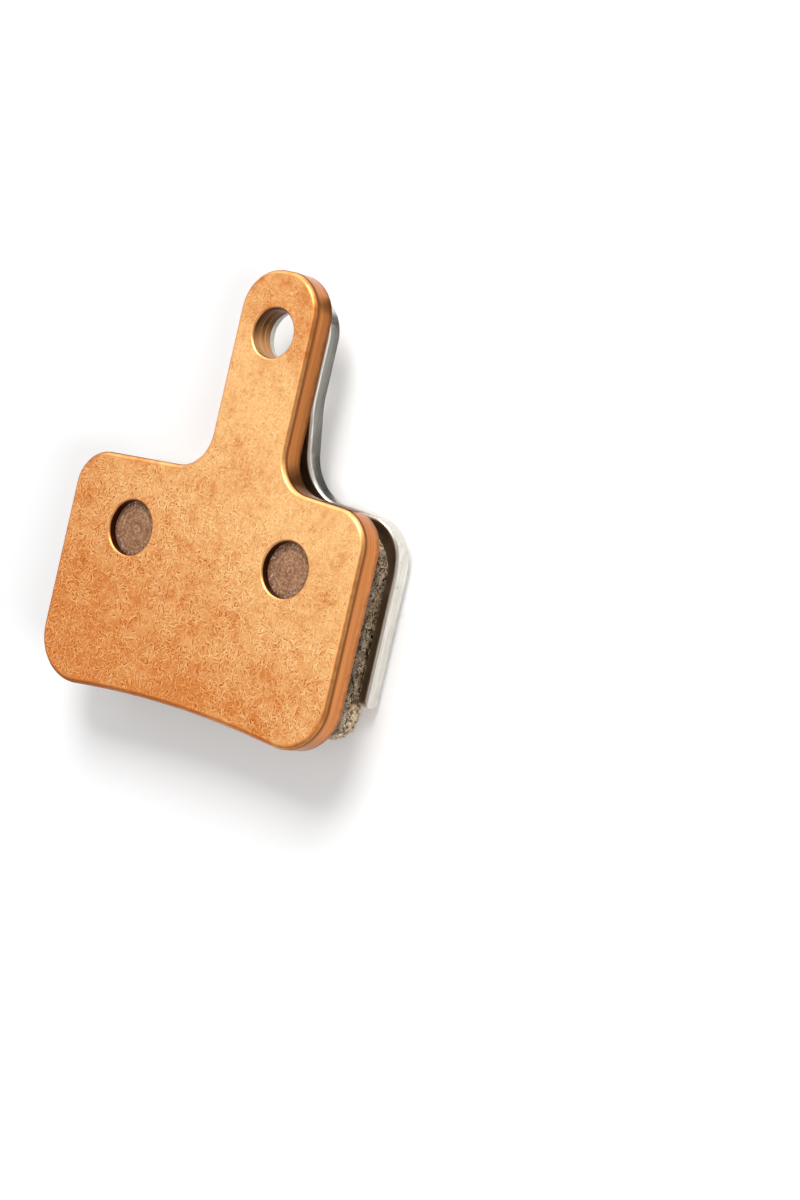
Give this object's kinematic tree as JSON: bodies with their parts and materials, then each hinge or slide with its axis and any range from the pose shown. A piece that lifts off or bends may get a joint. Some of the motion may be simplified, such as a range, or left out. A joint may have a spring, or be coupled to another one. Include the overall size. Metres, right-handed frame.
{
  "type": "sintered brake pad",
  "caption": "T-shaped copper-coloured brake pad back plate with a pin bore, keyed sintered friction block and a stepped leaf return spring round it.",
  "frame": {"origin": "centre of the pad's box in plan, on the rotor face of the friction block", "axes": "+X across the pad, +Y towards the tab, +Z from the rotor face to the plate's outer face"},
  "size_m": [0.03, 0.0358, 0.0068],
  "materials": {
    "copper_plate": "copper-plated steel, tumbled satin",
    "bond_brown": "dark oxidised bronze, matte",
    "sintered_metal": "porous sintered metal with bright chips",
    "spring_steel": "satin spring steel"
  },
  "bodies": {
    "root": {"back_plate": "copper_plate", "bond_layer": "bond_brown", "friction_block": "sintered_metal", "return_spring": "spring_steel"}
  },
  "joints": []
}
